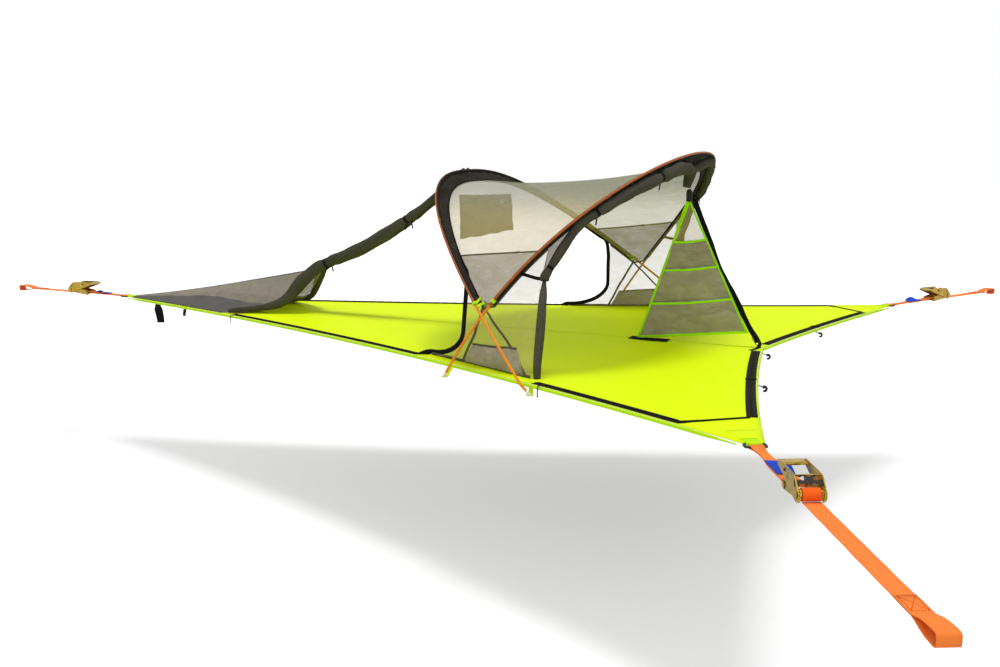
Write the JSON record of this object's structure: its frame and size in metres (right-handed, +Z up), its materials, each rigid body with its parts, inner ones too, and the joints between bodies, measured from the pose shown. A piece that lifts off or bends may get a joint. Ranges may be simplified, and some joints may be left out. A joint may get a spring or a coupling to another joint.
{
  "type": "tree tent",
  "caption": "Taut triangular floor slung from trees by ratchet straps, with a mesh cabin on two crossed arches and four open zipped doors.",
  "frame": {"origin": "where the front strap's sewn eye bears on its holder, in the plane of the floor", "axes": "+X from the front tree along the tent's middle line to its base, +Y to the far side, +Z up"},
  "size_m": [5.5068, 5.1527, 0.957],
  "materials": {
    "lime_cloth": "taut coated lime cloth",
    "lime_webbing": "woven lime webbing",
    "black_webbing": "woven black tape and zip",
    "mesh": "fine see-through mesh",
    "dark_mesh": "dark mesh",
    "orange_webbing": "woven orange webbing",
    "gold_steel": "yellow zinc plated steel",
    "black_steel": "black coated steel",
    "pole": "orange anodised tube",
    "black_plastic": "moulded nylon"
  },
  "bodies": {
    "tent": {"floor_panel": "lime_cloth", "edge_webbing_near": "lime_webbing", "edge_webbing_far": "lime_webbing", "edge_webbing_base": "lime_webbing", "front_pole": "pole", "rear_pole": "pole", "canopy_near": "mesh", "canopy_far": "mesh", "side_wall_near": "mesh", "side_wall_far": "mesh", "front_valance": "dark_mesh", "rear_valance": "dark_mesh", "front_net": "dark_mesh", "spine_strap": "black_webbing", "organiser_panel": "dark_mesh", "organiser_buckle": "black_plastic", "hanging_panel": "dark_mesh", "front_door_zip_near": "black_webbing", "rear_door_zip_near": "black_webbing", "front_door_roll_near": "dark_mesh", "rear_door_roll_near": "dark_mesh", "gathered_door_near": "dark_mesh", "fly_tab_near": "black_webbing", "front_door_zip_far": "black_webbing", "rear_door_zip_far": "black_webbing", "front_door_roll_far": "dark_mesh", "rear_door_roll_far": "dark_mesh", "gathered_door_far": "dark_mesh", "fly_tab_far": "black_webbing", "corner_ring_front": "black_steel", "sling_front": "orange_webbing", "tree_strap_front": "orange_webbing", "ratchet_frame_front": "gold_steel", "corner_ring_near": "black_steel", "sling_near": "orange_webbing", "tree_strap_near": "orange_webbing", "ratchet_frame_near": "gold_steel", "corner_ring_far": "black_steel", "sling_far": "orange_webbing", "tree_strap_far": "orange_webbing", "ratchet_frame_far": "gold_steel"},
    "spool_front": {"ratchet_spool_front": "gold_steel", "wound_webbing_front": "orange_webbing"},
    "handle_front": {"ratchet_handle_front": "gold_steel"},
    "drive_pawl_front": {"drive_pawl_front": "gold_steel"},
    "lock_pawl_front": {"lock_pawl_front": "gold_steel"},
    "spool_near": {"ratchet_spool_near": "gold_steel", "wound_webbing_near": "orange_webbing"},
    "handle_near": {"ratchet_handle_near": "gold_steel"},
    "drive_pawl_near": {"drive_pawl_near": "gold_steel"},
    "lock_pawl_near": {"lock_pawl_near": "gold_steel"},
    "spool_far": {"ratchet_spool_far": "gold_steel", "wound_webbing_far": "orange_webbing"},
    "handle_far": {"ratchet_handle_far": "gold_steel"},
    "drive_pawl_far": {"drive_pawl_far": "gold_steel"},
    "lock_pawl_far": {"lock_pawl_far": "gold_steel"},
    "zip_slider_front_near": {"zip_slider_front_near": "black_steel"},
    "zip_slider_rear_near": {"zip_slider_rear_near": "black_steel"},
    "zip_slider_front_far": {"zip_slider_front_far": "black_steel"},
    "zip_slider_rear_far": {"zip_slider_rear_far": "black_steel"}
  },
  "joints": [
    {"name": "handle_swing_front", "type": "hinge", "parent": "tent", "child": "handle_front", "pos_m": [0.44, 0, 0.01685], "axis": [0, -1, 0], "range_deg": [0, 130]},
    {"name": "spool_turn_front", "type": "hinge", "parent": "tent", "child": "spool_front", "pos_m": [0.44, 0, 0.01685], "axis": [0, -1, 0], "continuous": true},
    {"name": "drive_pawl_slide_front", "type": "slide", "parent": "handle_front", "child": "drive_pawl_front", "axis": [0.5, 0, 0.866], "range_m": [0, 0.004], "stiffness_N_per_m": 400, "springref_m": -0.002},
    {"name": "lock_pawl_slide_front", "type": "slide", "parent": "tent", "child": "lock_pawl_front", "axis": [1, 0, 0], "range_m": [0, 0.004], "stiffness_N_per_m": 400, "springref_m": -0.002},
    {"name": "handle_swing_near", "type": "hinge", "parent": "tent", "child": "handle_near", "pos_m": [5.1061, -2.00072, 0.01685], "axis": [0.878, 0.4787, 0], "range_deg": [0, 130]},
    {"name": "spool_turn_near", "type": "hinge", "parent": "tent", "child": "spool_near", "pos_m": [5.1061, -2.00072, 0.01685], "axis": [0.878, 0.4787, 0], "continuous": true},
    {"name": "drive_pawl_slide_near", "type": "slide", "parent": "handle_near", "child": "drive_pawl_near", "axis": [-0.2393, 0.439, 0.866], "range_m": [0, 0.004], "stiffness_N_per_m": 400, "springref_m": -0.002},
    {"name": "lock_pawl_slide_near", "type": "slide", "parent": "tent", "child": "lock_pawl_near", "axis": [-0.4787, 0.878, 0], "range_m": [0, 0.004], "stiffness_N_per_m": 400, "springref_m": -0.002},
    {"name": "handle_swing_far", "type": "hinge", "parent": "tent", "child": "handle_far", "pos_m": [5.1061, 2.00072, 0.01685], "axis": [-0.878, 0.4787, 0], "range_deg": [0, 130]},
    {"name": "spool_turn_far", "type": "hinge", "parent": "tent", "child": "spool_far", "pos_m": [5.1061, 2.00072, 0.01685], "axis": [-0.878, 0.4787, 0], "continuous": true},
    {"name": "drive_pawl_slide_far", "type": "slide", "parent": "handle_far", "child": "drive_pawl_far", "axis": [-0.2393, -0.439, 0.866], "range_m": [0, 0.004], "stiffness_N_per_m": 400, "springref_m": -0.002},
    {"name": "lock_pawl_slide_far", "type": "slide", "parent": "tent", "child": "lock_pawl_far", "axis": [-0.4787, -0.878, 0], "range_m": [0, 0.004], "stiffness_N_per_m": 400, "springref_m": -0.002},
    {"name": "zip_slider_front_near_run", "type": "hinge", "parent": "tent", "child": "zip_slider_front_near", "pos_m": [-2.82477, -15.56776, 0], "axis": [0, 0, -1], "range_deg": [0, 5.03]},
    {"name": "zip_slider_rear_near_run", "type": "hinge", "parent": "tent", "child": "zip_slider_rear_near", "pos_m": [-2.82477, -15.56776, 0], "axis": [0, 0, -1], "range_deg": [0, 2.21]},
    {"name": "zip_slider_front_far_run", "type": "hinge", "parent": "tent", "child": "zip_slider_front_far", "pos_m": [-2.82477, 15.56776, 0], "axis": [0, 0, 1], "range_deg": [0, 5.03]},
    {"name": "zip_slider_rear_far_run", "type": "hinge", "parent": "tent", "child": "zip_slider_rear_far", "pos_m": [-2.82477, 15.56776, 0], "axis": [0, 0, 1], "range_deg": [0, 2.21]}
  ]
}
